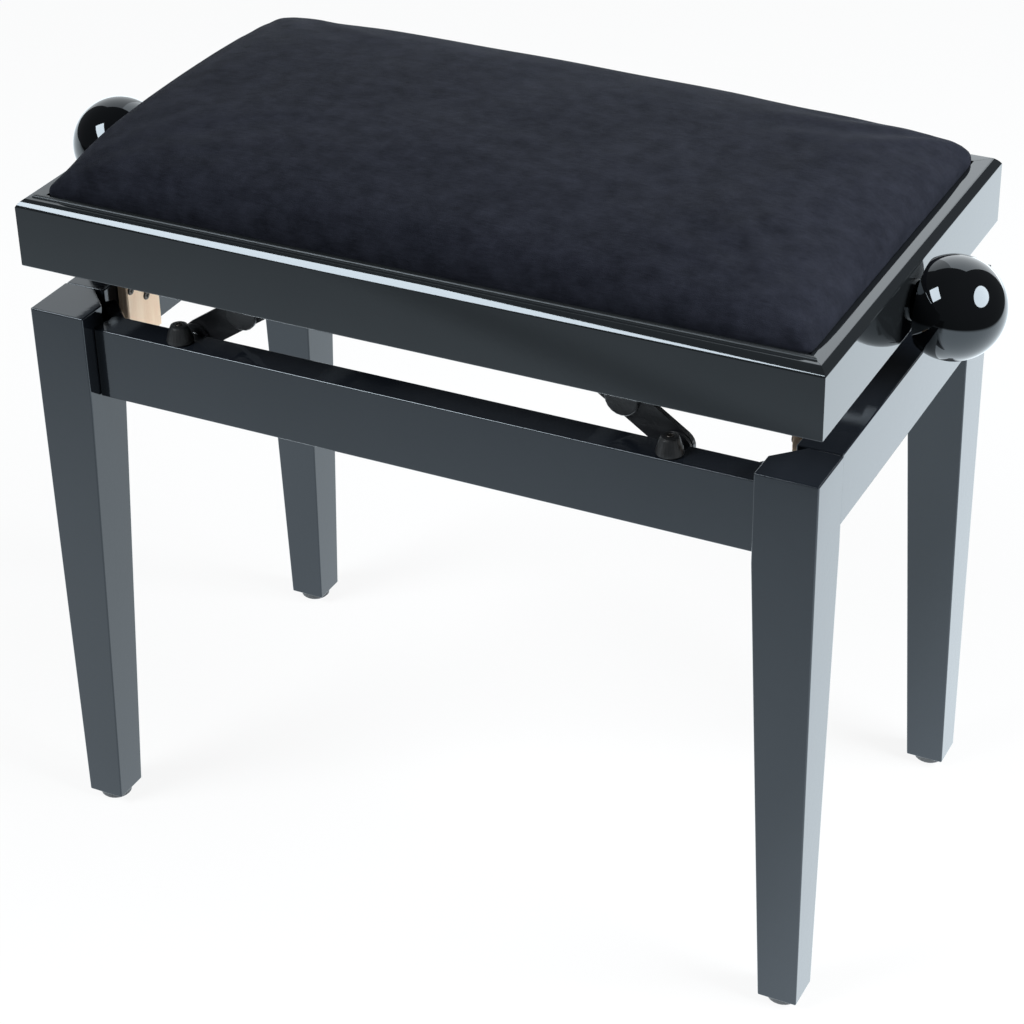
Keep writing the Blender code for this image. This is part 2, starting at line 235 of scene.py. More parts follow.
# camera, solved from the straight edges of the photograph
cameraSet = {
    "place": (0.732088, -1.434220, 1.210578),
    "turn": (58.5410, 1.1350, 26.5284),
    "lens": 95.365,
    "sensor": 36.0,
    "clip": (0.05, 60.0),
}
bpy.ops.object.camera_add(location=cameraSet["place"], rotation=[math.radians(a) for a in cameraSet["turn"]])
camera = bpy.context.object
camera.name = "benchCamera"
camera.data.lens = cameraSet["lens"]
camera.data.sensor_width = cameraSet["sensor"]
camera.data.clip_start, camera.data.clip_end = cameraSet["clip"]
bpy.context.scene.camera = camera
bpy.context.scene.view_settings.view_transform = "Standard"
print("camera set")


# studio: a white floor, a square softbox at the front left, a round dish at the right and two walls behind
studioSet = {
    "white": 0.985,
    "ambient": (0.085, 0.092, 0.10),
    "floorSize": 12.0,
    "floorDrop": 0.0004,
    "floorMatte": 0.93,
    "shadowShare": 0.10,
    "nearGlow": 1.58,
    "farGlow": 0.50,
    "frontFade": (-1.25, -0.30),      # along Y, from the far glow to the near one
    "rightGlow": 2.25,
    "rightFade": (0.17, 0.30),
    "edgeGlow": 0.04,
    "floorReach": (1.08, 1.36),
    "softLift": 0.72,
    "seam": {"slope": -0.306, "start": 0.849, "width": 0.05, "share": 0.62},      # a dimmer line across the floor
    "tint": (0.90, 0.995, 1.06),
    "lampTint": (0.95, 1.0, 1.03),
}
lampSet = {
    "softbox": {"place": (-2.343, -2.956, 3.832), "aim": (0.0, -0.10, 0.46), "size": (1.67, 2.5), "glow": 18.4,
                "roll": 58},
    "dish": {"place": (2.316, 0.088, 1.745), "aim": (0.0, 0.0, 0.42), "size": (1.88, 1.43), "glow": 18.0, "roll": 22},
    "wallGlow": {"place": (-0.025, 1.90, 2.15), "aim": (-0.025, 0.0, 2.15), "size": (1.75, 4.1), "glow": 2.3,
                 "roll": 0},
    "sideWallGlow": {"place": (-2.05, 1.90, 2.15), "aim": (-2.05, 0.0, 2.15), "size": (2.3, 4.1), "glow": 1.2,
                     "roll": 0},
}


def addLamp(name, shape="RECTANGLE"):
    values = lampSet[name]
    deselectAll()
    bpy.ops.object.light_add(type="AREA", location=values["place"])
    lamp = bpy.context.object
    lamp.name = name
    way = Vector(values["aim"]) - Vector(values["place"])
    turn = way.to_track_quat("-Z", "Y") @ Euler((0, 0, math.radians(values["roll"]))).to_quaternion()
    lamp.rotation_euler = turn.to_euler()
    lamp.data.shape = shape
    lamp.data.size, lamp.data.size_y = values["size"]
    lamp.data.color = studioSet["lampTint"]
    area = values["size"][0] * values["size"][1] * (math.pi / 4 if shape == "ELLIPSE" else 1.0)
    lamp.data.energy = values["glow"] * math.pi * area
    lamp.visible_camera = False
    return lamp


addLamp("softbox")
addLamp("dish", "ELLIPSE")
for name in ("wallGlow", "sideWallGlow"):
    addLamp(name).visible_diffuse = False      # it shows in the gloss only

world = bpy.data.worlds.new("studio")
bpy.context.scene.world = world
world.use_nodes = True
tree = world.node_tree
tree.nodes.clear()
path = tree.nodes.new("ShaderNodeLightPath")
seen = tree.nodes.new("ShaderNodeBackground")
seen.inputs["Color"].default_value = (studioSet["white"],) * 3 + (1,)
dim = tree.nodes.new("ShaderNodeBackground")
dim.inputs["Color"].default_value = studioSet["ambient"] + (1,)
both = tree.nodes.new("ShaderNodeMixShader")
skyOut = tree.nodes.new("ShaderNodeOutputWorld")
tree.links.new(path.outputs["Is Camera Ray"], both.inputs["Fac"])
tree.links.new(dim.outputs["Background"], both.inputs[1])
tree.links.new(seen.outputs["Background"], both.inputs[2])
tree.links.new(both.outputs["Shader"], skyOut.inputs["Surface"])


def mathNode(tree, operation, first, second):
    node = tree.nodes.new("ShaderNodeMath")
    node.operation = operation
    for slotIndex, value in enumerate((first, second)):
        if isinstance(value, (int, float)):
            node.inputs[slotIndex].default_value = value
        else:
            tree.links.new(value, node.inputs[slotIndex])
    return node.outputs["Value"]


def rangeNode(tree, low, high, toLow=0.0, toHigh=1.0, kind="LINEAR"):
    node = tree.nodes.new("ShaderNodeMapRange")
    node.interpolation_type = kind
    node.inputs["From Min"].default_value = low
    node.inputs["From Max"].default_value = high
    node.inputs["To Min"].default_value = toLow
    node.inputs["To Max"].default_value = toHigh
    return node


def fade(tree, value, low, high, toLow, toHigh):
    node = rangeNode(tree, low, high, toLow, toHigh, "SMOOTHSTEP")
    tree.links.new(value, node.inputs["Value"])
    return node.outputs["Result"]


# the floor is white to the camera; in the gloss it is brightest at the right and falls off towards the front
deselectAll()
bpy.ops.mesh.primitive_plane_add(size=studioSet["floorSize"], location=(0, 0, -studioSet["floorDrop"]))
floor = bpy.context.object
floor.name = "studioFloor"
floorPaint = bpy.data.materials.new("floorWhite")
floorPaint.use_nodes = True
tree = floorPaint.node_tree
tree.nodes.clear()
path = tree.nodes.new("ShaderNodeLightPath")
geometry = tree.nodes.new("ShaderNodeNewGeometry")
coords = tree.nodes.new("ShaderNodeTexCoord")
axes = tree.nodes.new("ShaderNodeSeparateXYZ")
tree.links.new(coords.outputs["Object"], axes.inputs["Vector"])
floorX, floorY = axes.outputs["X"], axes.outputs["Y"]
front = fade(tree, floorY, *studioSet["frontFade"], studioSet["farGlow"], studioSet["nearGlow"])
line = studioSet["seam"]
seamPlace = mathNode(tree, "ADD", mathNode(tree, "ADD", floorY, line["start"]),
                     mathNode(tree, "MULTIPLY", floorX, line["slope"]))
seam = fade(tree, mathNode(tree, "ABSOLUTE", seamPlace, 0.0), 0.0, line["width"], line["share"], 1.0)
level = tree.nodes.new("ShaderNodeMix")
tree.links.new(fade(tree, floorX, *studioSet["rightFade"], 0.0, 1.0), level.inputs[0])
tree.links.new(mathNode(tree, "MULTIPLY", front, seam), level.inputs[2])
level.inputs[3].default_value = studioSet["rightGlow"]
nearY = mathNode(tree, "MINIMUM", floorY, 0.0)
rightX = mathNode(tree, "MAXIMUM", floorX, 0.0)
farSquare = mathNode(tree, "ADD", mathNode(tree, "MULTIPLY", rightX, rightX), mathNode(tree, "MULTIPLY", nearY, nearY))
farAway = mathNode(tree, "SQRT", farSquare, 0.0)
reachEdge = fade(tree, farAway, *studioSet["floorReach"], 1.0, studioSet["edgeGlow"])
lift = mathNode(tree, "ADD", mathNode(tree, "MULTIPLY", path.outputs["Is Diffuse Ray"], studioSet["softLift"]), 1.0)
mirrored = tree.nodes.new("ShaderNodeEmission")
mirrored.inputs["Color"].default_value = studioSet["tint"] + (1,)
tree.links.new(mathNode(tree, "MULTIPLY", level.outputs[0], mathNode(tree, "MULTIPLY", reachEdge, lift)),
               mirrored.inputs["Strength"])
glow = tree.nodes.new("ShaderNodeEmission")
glow.inputs["Color"].default_value = (studioSet["white"],) * 3 + (1,)
matte = tree.nodes.new("ShaderNodeBsdfDiffuse")
matte.inputs["Color"].default_value = (studioSet["floorMatte"],) * 3 + (1,)
clear = tree.nodes.new("ShaderNodeBsdfTransparent")
mixSeen = tree.nodes.new("ShaderNodeMixShader")
mixGloss = tree.nodes.new("ShaderNodeMixShader")
mixBack = tree.nodes.new("ShaderNodeMixShader")
floorOut = tree.nodes.new("ShaderNodeOutputMaterial")
straight = mathNode(tree, "MAXIMUM", path.outputs["Is Camera Ray"], path.outputs["Is Transmission Ray"])
tree.links.new(mathNode(tree, "MULTIPLY", straight, 1.0 - studioSet["shadowShare"]), mixSeen.inputs["Fac"])
tree.links.new(matte.outputs["BSDF"], mixSeen.inputs[1])
tree.links.new(glow.outputs["Emission"], mixSeen.inputs[2])
bounced = mathNode(tree, "MAXIMUM", path.outputs["Is Glossy Ray"], path.outputs["Is Diffuse Ray"])
tree.links.new(bounced, mixGloss.inputs["Fac"])
tree.links.new(mixSeen.outputs["Shader"], mixGloss.inputs[1])
tree.links.new(mirrored.outputs["Emission"], mixGloss.inputs[2])
tree.links.new(geometry.outputs["Backfacing"], mixBack.inputs["Fac"])
tree.links.new(mixGloss.outputs["Shader"], mixBack.inputs[1])
tree.links.new(clear.outputs["BSDF"], mixBack.inputs[2])
tree.links.new(mixBack.outputs["Shader"], floorOut.inputs["Surface"])
floor.data.materials.append(floorPaint)
print("studio set")


# shared shader groups

def newGroup(name, inputs, outputs):
    group = bpy.data.node_groups.new(name, "ShaderNodeTree")
    for title, kind, value in inputs:
        socket = group.interface.new_socket(name=title, in_out="INPUT", socket_type=kind)
        socket.default_value = value
    for title, kind in outputs:
        group.interface.new_socket(name=title, in_out="OUTPUT", socket_type=kind)
    return group, group.nodes.new("NodeGroupInput"), group.nodes.new("NodeGroupOutput")


def noiseNode(tree, detail, rough):
    node = tree.nodes.new("ShaderNodeTexNoise")
    node.inputs["Detail"].default_value = detail
    node.inputs["Roughness"].default_value = rough
    return node


# mottle: a soft cloud between two values, for roughness and tone that isn't quite even
mottle, groupIn, groupOut = newGroup(
    "mottle",
    [("Vector", "NodeSocketVector", (0, 0, 0)), ("Scale", "NodeSocketFloat", 30.0), ("Low", "NodeSocketFloat", 0.0),
     ("High", "NodeSocketFloat", 1.0)],
    [("Value", "NodeSocketFloat")],
)
cloud = noiseNode(mottle, 4.0, 0.6)
spread = rangeNode(mottle, 0.3, 0.7)
mottle.links.new(groupIn.outputs["Vector"], cloud.inputs["Vector"])
mottle.links.new(groupIn.outputs["Scale"], cloud.inputs["Scale"])
mottle.links.new(cloud.outputs["Fac"], spread.inputs["Value"])
mottle.links.new(groupIn.outputs["Low"], spread.inputs["To Min"])
mottle.links.new(groupIn.outputs["High"], spread.inputs["To Max"])
mottle.links.new(spread.outputs["Result"], groupOut.inputs["Value"])

# specks: sparse dust or grit, 0 to 1
specks, groupIn, groupOut = newGroup(
    "specks",
    [("Vector", "NodeSocketVector", (0, 0, 0)), ("Scale", "NodeSocketFloat", 120.0), ("Size", "NodeSocketFloat", 0.06)],
    [("Mask", "NodeSocketFloat")],
)
cells = specks.nodes.new("ShaderNodeTexVoronoi")
close = rangeNode(specks, 0.0, 0.06, 1.0, 0.0)
thin = noiseNode(specks, 2.0, 0.55)
thin.inputs["Scale"].default_value = 17.0
few = rangeNode(specks, 0.55, 0.7)
specks.links.new(groupIn.outputs["Vector"], cells.inputs["Vector"])
specks.links.new(groupIn.outputs["Scale"], cells.inputs["Scale"])
specks.links.new(cells.outputs["Distance"], close.inputs["Value"])
specks.links.new(groupIn.outputs["Size"], close.inputs["From Max"])
specks.links.new(groupIn.outputs["Vector"], thin.inputs["Vector"])
specks.links.new(thin.outputs["Fac"], few.inputs["Value"])
specks.links.new(mathNode(specks, "MULTIPLY", close.outputs["Result"], few.outputs["Result"]), groupOut.inputs["Mask"])

# grain: wavering rings and fine fibres, longest along the axis with the smallest Stretch
grain, groupIn, groupOut = newGroup(
    "grain",
    [("Vector", "NodeSocketVector", (0, 0, 0)), ("Stretch", "NodeSocketVector", (1, 1, 1)),
     ("Pale", "NodeSocketColor", (0.7, 0.5, 0.35, 1)), ("Dark", "NodeSocketColor", (0.5, 0.33, 0.2, 1))],
    [("Color", "NodeSocketColor"), ("Height", "NodeSocketFloat")],
)
squeeze = grain.nodes.new("ShaderNodeVectorMath")
squeeze.operation = "MULTIPLY"
rings = grain.nodes.new("ShaderNodeTexWave")
rings.inputs["Scale"].default_value = 6.0
rings.inputs["Distortion"].default_value = 3.5
rings.inputs["Detail"].default_value = 3.0
rings.inputs["Detail Scale"].default_value = 1.4
fibres = noiseNode(grain, 6.0, 0.7)
fibres.inputs["Scale"].default_value = 60.0
tone = grain.nodes.new("ShaderNodeMix")
tone.data_type = "RGBA"
grain.links.new(groupIn.outputs["Vector"], squeeze.inputs[0])
grain.links.new(groupIn.outputs["Stretch"], squeeze.inputs[1])
grain.links.new(squeeze.outputs["Vector"], rings.inputs["Vector"])
grain.links.new(squeeze.outputs["Vector"], fibres.inputs["Vector"])
figure = mathNode(grain, "MULTIPLY", rings.outputs["Fac"], fibres.outputs["Fac"])
grain.links.new(figure, tone.inputs["Factor"])
grain.links.new(groupIn.outputs["Pale"], tone.inputs["A"])
grain.links.new(groupIn.outputs["Dark"], tone.inputs["B"])
grain.links.new(tone.outputs["Result"], groupOut.inputs["Color"])
grain.links.new(figure, groupOut.inputs["Height"])


# finishes

def startPaint(name):
    paint = bpy.data.materials.new(name)
    paint.use_nodes = True
    tree = paint.node_tree
    shader = tree.nodes["Principled BSDF"]
    place = tree.nodes.new("ShaderNodeTexCoord")
    return paint, tree, shader, place.outputs["Object"]


def useGroup(tree, group, where, **values):
    node = tree.nodes.new("ShaderNodeGroup")
    node.node_tree = group
    tree.links.new(where, node.inputs["Vector"])
    for title, value in values.items():
        node.inputs[title].default_value = value
    return node


def cloudOf(tree, where, scale, low=0.0, high=1.0):
    return useGroup(tree, mottle, where, Scale=scale, Low=low, High=high).outputs["Value"]


def addTone(tree, shader, factor, first, second):
    node = tree.nodes.new("ShaderNodeMix")
    node.data_type = "RGBA"
    tree.links.new(factor, node.inputs["Factor"])
    node.inputs["A"].default_value = (*first, 1)
    node.inputs["B"].default_value = (*second, 1)
    tree.links.new(node.outputs["Result"], shader.inputs["Base Color"])
    return node


def addBump(tree, shader, height, strength, distance):
    node = tree.nodes.new("ShaderNodeBump")
    node.inputs["Strength"].default_value = strength
    node.inputs["Distance"].default_value = distance
    tree.links.new(height, node.inputs["Height"])
    tree.links.new(node.outputs["Normal"], shader.inputs["Normal"])


# lacquers: tone from and to, roughness from and to, share of dust, share of orange peel
lacquerSet = {
    "gleam": (0.85, 0.93, 1.0, 1),
    "toneScale": 9.0,
    "sheenScale": 22.0,
    "dust": {"Scale": 150.0, "Size": 0.05},
    "peelScale": 260.0,
    "peelDepth": 0.0002,
    "frame": ((0.0090, 0.0103, 0.0114), (0.0115, 0.0130, 0.0142), 0.030, 0.050, 0.06, 0.015),
    "satin": ((0.0055, 0.0062, 0.0066), (0.0075, 0.0084, 0.0090), 0.40, 0.48, 0.10, 0.03),
    "base": ((0.0074, 0.0092, 0.0126), (0.0100, 0.0120, 0.0160), 0.060, 0.095, 0.20, 0.05),
    "knob": ((0.0020, 0.0021, 0.0024), (0.0030, 0.0031, 0.0034), 0.015, 0.028, 0.08, 0.01),
}


def lacquerPaint(name, tone, toneHigh, rough, roughHigh, dustShare, peelShare):
    s = lacquerSet
    paint, tree, shader, where = startPaint(name)
    addTone(tree, shader, cloudOf(tree, where, s["toneScale"]), tone, toneHigh)
    dust = useGroup(tree, specks, where, **s["dust"])
    dusty = mathNode(tree, "MULTIPLY", dust.outputs["Mask"], dustShare)
    sheen = cloudOf(tree, where, s["sheenScale"], rough, roughHigh)
    tree.links.new(mathNode(tree, "ADD", dusty, sheen), shader.inputs["Roughness"])
    addBump(tree, shader, cloudOf(tree, where, s["peelScale"]), peelShare, s["peelDepth"])
    shader.inputs["Specular Tint"].default_value = s["gleam"]
    return paint


frameLacquer = lacquerPaint("frameLacquer", *lacquerSet["frame"])
satinLacquer = lacquerPaint("satinLacquer", *lacquerSet["satin"])
baseLacquer = lacquerPaint("baseLacquer", *lacquerSet["base"])
knobGloss = lacquerPaint("knobGloss", *lacquerSet["knob"])

# metals, nylon and rubber: tone from and to, roughness from and to, metallic, strength of the bump
metalSet = {
    "toneScale": 70.0,
    "wearScale": 160.0,
    "skinScale": 900.0,
    "skinDepth": 0.0003,
    "blackSteel": ((0.018, 0.019, 0.022), (0.030, 0.031, 0.034), 0.32, 0.46, 0.0, 0.25),
    "zincSteel": ((0.50, 0.51, 0.53), (0.62, 0.63, 0.64), 0.24, 0.36, 1.0, 0.10),
    "darkScrew": ((0.055, 0.050, 0.045), (0.10, 0.09, 0.08), 0.35, 0.5, 1.0, 0.15),
    "nylonPaint": ((0.030, 0.030, 0.031), (0.042, 0.042, 0.043), 0.45, 0.6, 0.0, 0.2),
    "rubberPaint": ((0.007, 0.0072, 0.0078), (0.013, 0.0132, 0.0140), 0.36, 0.52, 0.0, 0.25),
}


def metalPaint(name):
    s = metalSet
    tone, toneHigh, rough, roughHigh, metallic, bump = s[name]
    paint, tree, shader, where = startPaint(name)
    addTone(tree, shader, cloudOf(tree, where, s["toneScale"]), tone, toneHigh)
    tree.links.new(cloudOf(tree, where, s["wearScale"], rough, roughHigh), shader.inputs["Roughness"])
    shader.inputs["Metallic"].default_value = metallic
    addBump(tree, shader, cloudOf(tree, where, s["skinScale"]), bump, s["skinDepth"])
    return paint


blackSteel = metalPaint("blackSteel")
zincSteel = metalPaint("zincSteel")
darkScrew = metalPaint("darkScrew")
nylonPaint = metalPaint("nylonPaint")
rubberPaint = metalPaint("rubberPaint")

# woods: pale, dark, stretch of the grain, roughness
woodSet = {
    "roughScale": 40.0,
    "roughSpread": 0.06,
    "fibreBump": (0.25, 0.0006),
    "rawWood": ((0.99, 0.725, 0.51), (0.85, 0.54, 0.345), (18.0, 18.0, 4.0), 0.68),
    "plywood": ((0.030, 0.028, 0.027), (0.016, 0.015, 0.014), (2.5, 14.0, 14.0), 0.7),
}


def woodPaint(name):
    s = woodSet
    pale, dark, stretch, rough = s[name]
    paint, tree, shader, where = startPaint(name)
    fibre = useGroup(tree, grain, where, Stretch=stretch, Pale=(*pale, 1), Dark=(*dark, 1))
    tree.links.new(fibre.outputs["Color"], shader.inputs["Base Color"])
    uneven = cloudOf(tree, where, s["roughScale"], rough - s["roughSpread"], rough + s["roughSpread"])
    tree.links.new(uneven, shader.inputs["Roughness"])
    addBump(tree, shader, fibre.outputs["Height"], *s["fibreBump"])
    return paint


rawWood = woodPaint("rawWood")
plywood = woodPaint("plywood")

# velvet: clouds are scale, low, high
velvetSet = {
    "deep": (0.0040, 0.0046, 0.0072),
    "lit": (0.0121, 0.0132, 0.0193),
    "nap": (11.0, 0.0, 0.45),
    "patch": (75.0, -0.2, 0.7),
    "streak": (620.0, 0.0, 0.45),
    "drawn": (0.17, 1.0, 1.0),          # the pile lies along the bench, so its streaks are long in X
    "litEnd": (0.15, 0.25, 0.45),      # painted light: the velvet is made lighter towards the right end, where the dish lights it: from, to, share
    "matted": (26.0, 0.84, 0.97),
    "specular": 0.05,
    "sheen": 0.03,
    "sheenRough": 0.45,
    "sheenTint": (0.62, 0.68, 0.80),
    "pile": (1500.0, 0.0, 0.6),
    "tuft": (320.0, 0.0, 0.4),
    "pileBump": (0.35, 0.0008),
}
velvet, tree, shader, where = startPaint("velvet")
drawn = tree.nodes.new("ShaderNodeMapping")
drawn.inputs["Scale"].default_value = velvetSet["drawn"]
tree.links.new(where, drawn.inputs["Vector"])
seatAxes = tree.nodes.new("ShaderNodeSeparateXYZ")
tree.links.new(where, seatAxes.inputs["Vector"])
pileToneAndLitEnd = mathNode(tree, "ADD", cloudOf(tree, where, *velvetSet["nap"]),
               cloudOf(tree, drawn.outputs["Vector"], *velvetSet["streak"]))
# the pile's own random tone, plus painted light: a lighter right end where the dish falls on the cushion
litEndFrom, litEndTo, litEndShare = velvetSet["litEnd"]
pileToneAndLitEnd = mathNode(tree, "ADD", pileToneAndLitEnd, fade(tree, seatAxes.outputs["X"], litEndFrom, litEndTo, 0.0, litEndShare))
pileToneAndLitEnd = mathNode(tree, "ADD", pileToneAndLitEnd, cloudOf(tree, where, *velvetSet["patch"]))
addTone(tree, shader, pileToneAndLitEnd, velvetSet["deep"], velvetSet["lit"]).clamp_factor = False
tree.links.new(cloudOf(tree, where, *velvetSet["matted"]), shader.inputs["Roughness"])
shader.inputs["Specular IOR Level"].default_value = velvetSet["specular"]
shader.inputs["Sheen Weight"].default_value = velvetSet["sheen"]
shader.inputs["Sheen Roughness"].default_value = velvetSet["sheenRough"]
shader.inputs["Sheen Tint"].default_value = (*velvetSet["sheenTint"], 1)
pile = mathNode(tree, "ADD", cloudOf(tree, where, *velvetSet["pile"]), cloudOf(tree, where, *velvetSet["tuft"]))
addBump(tree, shader, pile, *velvetSet["pileBump"])
print("finishes mixed")


# seat frame: four mitred rails, an L in section, with a broad chamfer outside
railSet = {
    "half": (0.2775, 0.16075),
    "bottom": 0.432,
    "rebate": 0.465,
    "top": 0.479,
    "wall": 0.018,
    "ledge": 0.0147,
    "chamfer": 0.0052,
    "chamferShape": 0.32,
    "lowEdge": 0.0010,
    "gap": 0.00012,
    "boreHeight": 0.4485,
    "bore": 0.0093,
    "drill": 0.06,
}


def shapeRail(name, across, along):
    # modelled along X at the front and cut to the mitre; the side rails are turned into place afterwards
    s = railSet
    outer, inner = -across, -across + s["ledge"]
    rail = addBlock(name, (-along, outer, s["bottom"]), (along, outer + s["wall"], s["rebate"]))
    cutAt(rail, (0, inner, 0), (0, 1, 0))
    pick(rail, "FACE", lambda face, m: face.normal.z > 0.9 and m.y < inner)
    bpy.ops.mesh.extrude_region_move(TRANSFORM_OT_translate={"value": (0, 0, s["top"] - s["rebate"])})
    bpy.ops.mesh.select_all(action="SELECT")
    bpy.ops.mesh.dissolve_limited(angle_limit=math.radians(0.5))
    leaveEdit()
    bevelEdges(rail, lambda edge, m: runsOver(edge, along) and isNear(m.z, s["top"]) and isNear(m.y, outer),
               s["chamfer"], 12, s["chamferShape"])
    bevelEdges(rail, lambda edge, m: runsOver(edge, along) and isNear(m.z, s["bottom"]), s["lowEdge"], 3)
    for sign in (-1, 1):
        cutAt(rail, (sign * (along - s["gap"]), outer, 0), (sign * mitre, mitre, 0), "INNER")
    return rail


def swapAxes(piece):
    activate(piece)
    piece.rotation_euler = (0, 0, math.pi / 2)
    bpy.ops.object.transform_apply(location=False, rotation=True, scale=False)
    return piece


halfX, halfY = railSet["half"]
frontRail = shapeRail("frameRailFront", halfY, halfX)
rightRail = swapAxes(shapeRail("frameRailRight", halfX, halfY))
borePlace = (halfX - railSet["wall"] / 2, 0, railSet["boreHeight"])
cutAway(rightRail, addRound("railDrill", railSet["bore"], railSet["drill"], borePlace, "X", 48))
backRail = mirrorCopy(frontRail, "frameRailBack", (1, -1, 1))
leftRail = mirrorCopy(rightRail, "frameRailLeft", (-1, 1, 1))
for rail, node in ((frontRail, "front"), (backRail, "back"), (rightRail, "right"), (leftRail, "left")):
    flatNormals(rail)
    dress(rail, frameLacquer, "seat", [f"top_rail_{node}"])
print("seat frame rails done")


# a satin bead along the front rail, just outside the cushion
beadSet = {"gap": 0.0026, "width": 0.0038, "height": 0.0014, "sunk": 0.0006, "round": 0.0014}


def shapeBead(name, across, along):
    s, top = beadSet, railSet["top"]
    inner = -across + railSet["ledge"] - s["gap"]
    bead = addBlock(name, (-along, inner - s["width"], top - s["sunk"]), (along, inner, top + s["height"]))
    bevelEdges(bead, lambda edge, m: runsOver(edge, along) and m.z > top + s["height"] - 1e-5, s["round"], 6)
    for sign in (-1, 1):
        cutAt(bead, (sign * along, -across, 0), (sign * mitre, mitre, 0), "INNER")
    softShade(bead)
    return bead


dress(shapeBead("cushionBead", halfY, halfX), satinLacquer, "seat")
print("bead done")


# knobs: a ball cut off flat at the back, with a stepped neck; the left one stands a little further out
knobSet = {
    "radius": 0.033,
    "centre": 0.3005,
    "back": 0.283,
    "backEdge": 0.0012,
    "neck": 0.0130,
    "neckEdge": 0.0006,
    "rail": 0.2783,
    "height": 0.4485,
    "leftOut": 0.005,
}


def shapeKnob(name, out):
    s = knobSet
    back = s["back"] + out
    deselectAll()
    bpy.ops.mesh.primitive_uv_sphere_add(segments=96, ring_count=64, radius=s["radius"],
                                         location=(s["centre"] + out, 0, s["height"]), rotation=(0, math.pi / 2, 0))
    knob = callIt(bpy.context.object, name)
    applyPlace()
    cutAt(knob, (back, 0, 0), (1, 0, 0), "OUTER")
    bevelEdges(knob, lambda edge, m: all(isNear(v.co.x, back) for v in edge.verts), s["backEdge"], 3)
    rim = max(math.hypot(v.co.y, v.co.z - s["height"]) for v in knob.data.vertices if isNear(v.co.x, back))
    pick(knob, "FACE", lambda face, m: face.normal.x < -0.99 and isNear(m.x, back))
    bpy.ops.mesh.inset(thickness=rim - s["neck"], depth=0)
    bpy.ops.mesh.extrude_region_move(TRANSFORM_OT_translate={"value": (s["rail"] - back, 0, 0)})
    leaveEdit()
    bevelEdges(knob, lambda edge, m: all(isNear(v.co.x, s["rail"]) for v in edge.verts), s["neckEdge"], 2)
    softShade(knob, 40)
    return knob


rightKnob = shapeKnob("ballKnobRight", 0.0)
farKnob = shapeKnob("ballKnobFar", knobSet["leftOut"])
leftKnob = mirrorCopy(farKnob, "ballKnobLeft", (-1, 1, 1))
bpy.data.objects.remove(farKnob)
for knob, side in ((rightKnob, "right"), (leftKnob, "left")):
    dress(knob, knobGloss, "spindle", [f"knob_{side}"])
print("ball knobs done")


# legs: square at the top, the two inner faces tapering to the foot, inner corner cut off for the brace
legSet = {
    "half": (0.2763, 0.1595),
    "top": 0.401,
    "bottom": 0.006,
    "width": 0.041,
    "foot": 0.027,
    "knee": 0.338,
    "cornerCut": 0.345,
    "cornerSum": 0.372,
    "cutter": (0.05, 0.02),      # half its width, and how far it stands above the leg
    "edge": 0.0010,
}


def shapeLeg(name):
    s = legSet
    ox, oy = s["half"]
    leg = addBlock(name, (ox - s["width"], oy - s["width"], s["bottom"]), (ox, oy, s["top"]))
    cutAt(leg, (0, 0, s["knee"]), (0, 0, 1))
    pick(leg, "FACE", lambda face, m: face.normal.z < -0.9)
    ratio = s["foot"] / s["width"]
    bpy.ops.transform.resize(value=(ratio, ratio, 1.0), center_override=(ox, oy, s["bottom"]))
    leaveEdit()
    inner = Vector((ox - s["width"], oy - s["width"], 0))
    reach = s["cornerSum"] - inner.x - inner.y
    half, above = s["cutter"]
    cutter = addBlock("cornerCutter", (-half, -half, s["cornerCut"]), (half, half, s["top"] + above))
    cutter.rotation_euler = (0, 0, math.pi / 4)
    cutter.location = inner + Vector((reach / 2, reach / 2, 0)) - Vector((1, 1, 0)).normalized() * half
    activate(cutter)
    applyPlace()
    cutAway(leg, cutter)
    easeEdges(leg, s["edge"])
    return leg


firstLeg = shapeLeg("legBackRight")
legs = {("right", "back"): firstLeg}
legs["left", "back"] = mirrorCopy(firstLeg, "legBackLeft", (-1, 1, 1))
legs["right", "front"] = mirrorCopy(firstLeg, "legFrontRight", (1, -1, 1))
legs["left", "front"] = mirrorCopy(firstLeg, "legFrontLeft", (-1, -1, 1))
for (side, end), leg in legs.items():
    flatNormals(leg)
    dress(leg, baseLacquer, "base", [f"leg_{end}_{side}"])
print("legs done")


# aprons between the legs
apronSet = {
    "longY": (0.1262, 0.1485),
    "longZ": (0.339, 0.389),
    "sideX": (0.2460, 0.2757),
    "sideZ": (0.352, 0.401),
    "gap": 0.0003,
    "edge": 0.0009,
}


def shapeApron(name, low, high):
    apron = addBlock(name, low, high)
    easeEdges(apron, apronSet["edge"])
    flatNormals(apron)
    return apron


legX, legY = (half - legSet["width"] - apronSet["gap"] for half in legSet["half"])
(longIn, longOut), (longLow, longHigh) = apronSet["longY"], apronSet["longZ"]
(sideIn, sideOut), (sideLow, sideHigh) = apronSet["sideX"], apronSet["sideZ"]
aprons = {
    "front": shapeApron("apronFront", (-legX, -longOut, longLow), (legX, -longIn, longHigh)),
    "back": shapeApron("apronBack", (-legX, longIn, longLow), (legX, longOut, longHigh)),
    "right": shapeApron("apronRight", (sideIn, -legY, sideLow), (sideOut, legY, sideHigh)),
    "left": shapeApron("apronLeft", (-sideOut, -legY, sideLow), (-sideIn, legY, sideHigh)),
}
for node, apron in aprons.items():
    dress(apron, baseLacquer, "base", [f"apron_{node}"])
print("aprons done")


